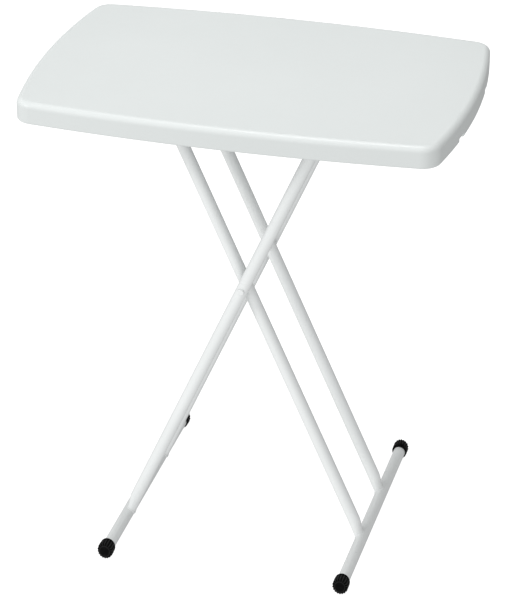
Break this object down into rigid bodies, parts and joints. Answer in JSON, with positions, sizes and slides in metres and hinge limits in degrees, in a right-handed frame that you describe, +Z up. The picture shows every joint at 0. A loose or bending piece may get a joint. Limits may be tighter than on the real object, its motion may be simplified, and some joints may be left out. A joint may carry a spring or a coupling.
{
  "type": "folding table",
  "caption": "Small folding table: hollow moulded white top with bowed sides on two crossed white tube frames with black end caps; the legs scissor flat under the top.",
  "frame": {"origin": "on the floor, under the middle of the top", "axes": "+X along the length of the top, +Y to the back, +Z up"},
  "size_m": [0.6598, 0.4334, 0.756],
  "materials": {
    "top_plastic": "smooth satin moulded polyethylene",
    "frame_paint": "gloss white powder coat",
    "black_plastic": "moulded black plastic",
    "rail_aluminium": "satin extruded",
    "zinc_steel": "zinc plated",
    "rivet_steel": "painted steel rivet"
  },
  "bodies": {
    "tabletop": {"rail_back": "rail_aluminium", "rail_front": "rail_aluminium", "rail_screws": "zinc_steel", "rail_stop_back_left": "black_plastic", "rail_stop_back_right": "black_plastic", "rail_stop_front_left": "black_plastic", "rail_stop_front_right": "black_plastic", "tabletop_shell": "top_plastic", "vent_plug": "top_plastic"},
    "inner_sliders": {"inner_slider_back": "black_plastic", "inner_slider_front": "black_plastic"},
    "inner_frame": {"inner_crossbar": "frame_paint", "inner_crossbar_plug_back": "black_plastic", "inner_crossbar_plug_front": "black_plastic", "inner_foot_bar": "frame_paint", "inner_foot_cap_back": "black_plastic", "inner_foot_cap_front": "black_plastic", "inner_leg_back": "frame_paint", "inner_leg_front": "frame_paint", "inner_leg_plug_back": "black_plastic", "inner_leg_plug_front": "black_plastic"},
    "outer_frame": {"outer_crossbar": "frame_paint", "outer_crossbar_plug_back": "black_plastic", "outer_crossbar_plug_front": "black_plastic", "outer_foot_bar": "frame_paint", "outer_foot_cap_back": "black_plastic", "outer_foot_cap_front": "black_plastic", "outer_leg_back": "frame_paint", "outer_leg_front": "frame_paint", "outer_leg_plug_back": "black_plastic", "outer_leg_plug_front": "black_plastic", "pivot_rivet_back": "rivet_steel", "pivot_rivet_front": "rivet_steel", "pivot_washer_back": "rivet_steel", "pivot_washer_front": "rivet_steel"},
    "outer_sliders": {"outer_slider_back": "black_plastic", "outer_slider_front": "black_plastic"}
  },
  "joints": [
    {"name": "inner_slide", "type": "slide", "parent": "tabletop", "child": "inner_sliders", "axis": [-1, 0, 0], "range_m": [0, 0.1935]},
    {"name": "legs_fold", "type": "hinge", "parent": "inner_sliders", "child": "inner_frame", "pos_m": [-0.10157, 0, 0.7052], "axis": [0, -1, 0], "range_deg": [0, 65.5]},
    {"name": "scissor_pivot", "type": "hinge", "parent": "inner_frame", "child": "outer_frame", "pos_m": [0, 0, 0.43601], "axis": [0, -1, 0], "range_deg": [-131.2, 0]},
    {"name": "outer_slider_turn", "type": "hinge", "parent": "outer_frame", "child": "outer_sliders", "pos_m": [0.10157, 0, 0.7052], "axis": [0, -1, 0], "range_deg": [0, 65.6]}
  ],
  "couplings": [
    {"joint": "inner_slide", "follows": "legs_fold", "m_per_rad": 0.16883},
    {"joint": "scissor_pivot", "follows": "legs_fold", "ratio": -2},
    {"joint": "outer_slider_turn", "follows": "legs_fold", "ratio": 1}
  ]
}
